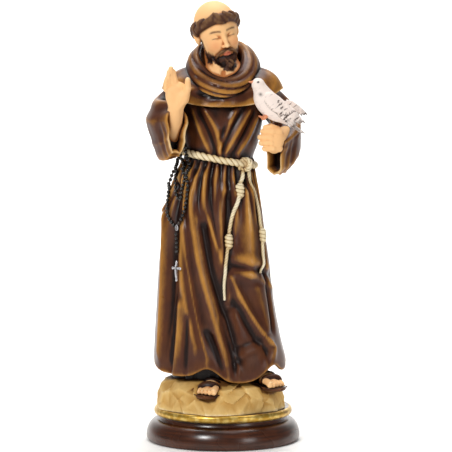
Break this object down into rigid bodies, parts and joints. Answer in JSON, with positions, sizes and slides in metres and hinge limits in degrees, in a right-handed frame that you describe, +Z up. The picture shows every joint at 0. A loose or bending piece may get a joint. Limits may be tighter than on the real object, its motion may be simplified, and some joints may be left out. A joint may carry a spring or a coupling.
{
  "type": "carved wooden friar saint statue on a plinth",
  "caption": "Standing friar in a draped robe with a knotted rope, one hand raised and a dove on the other, carved with a rock and set on a turned round plinth.",
  "frame": {"origin": "centre of the plinth's flat underside", "axes": "+Z up; the figure faces -Y; +X is on the viewer's right"},
  "size_m": [0.1424, 0.14, 0.3986],
  "materials": {
    "painted_wood": "satin paint, dark in the hollows and ochre on the ridges",
    "dove_paint": "satin pinkish white paint with grey strokes",
    "stained_wood": "gloss dark stain with a gilded rim",
    "beads": "black lacquer",
    "silver": "worn silver"
  },
  "bodies": {
    "root": {"figure": "painted_wood", "dove": "dove_paint", "plinth": "stained_wood", "rosary_ring": "beads", "rosary_drop": "beads", "rosary_medal": "silver", "crucifix": "silver"}
  },
  "joints": []
}
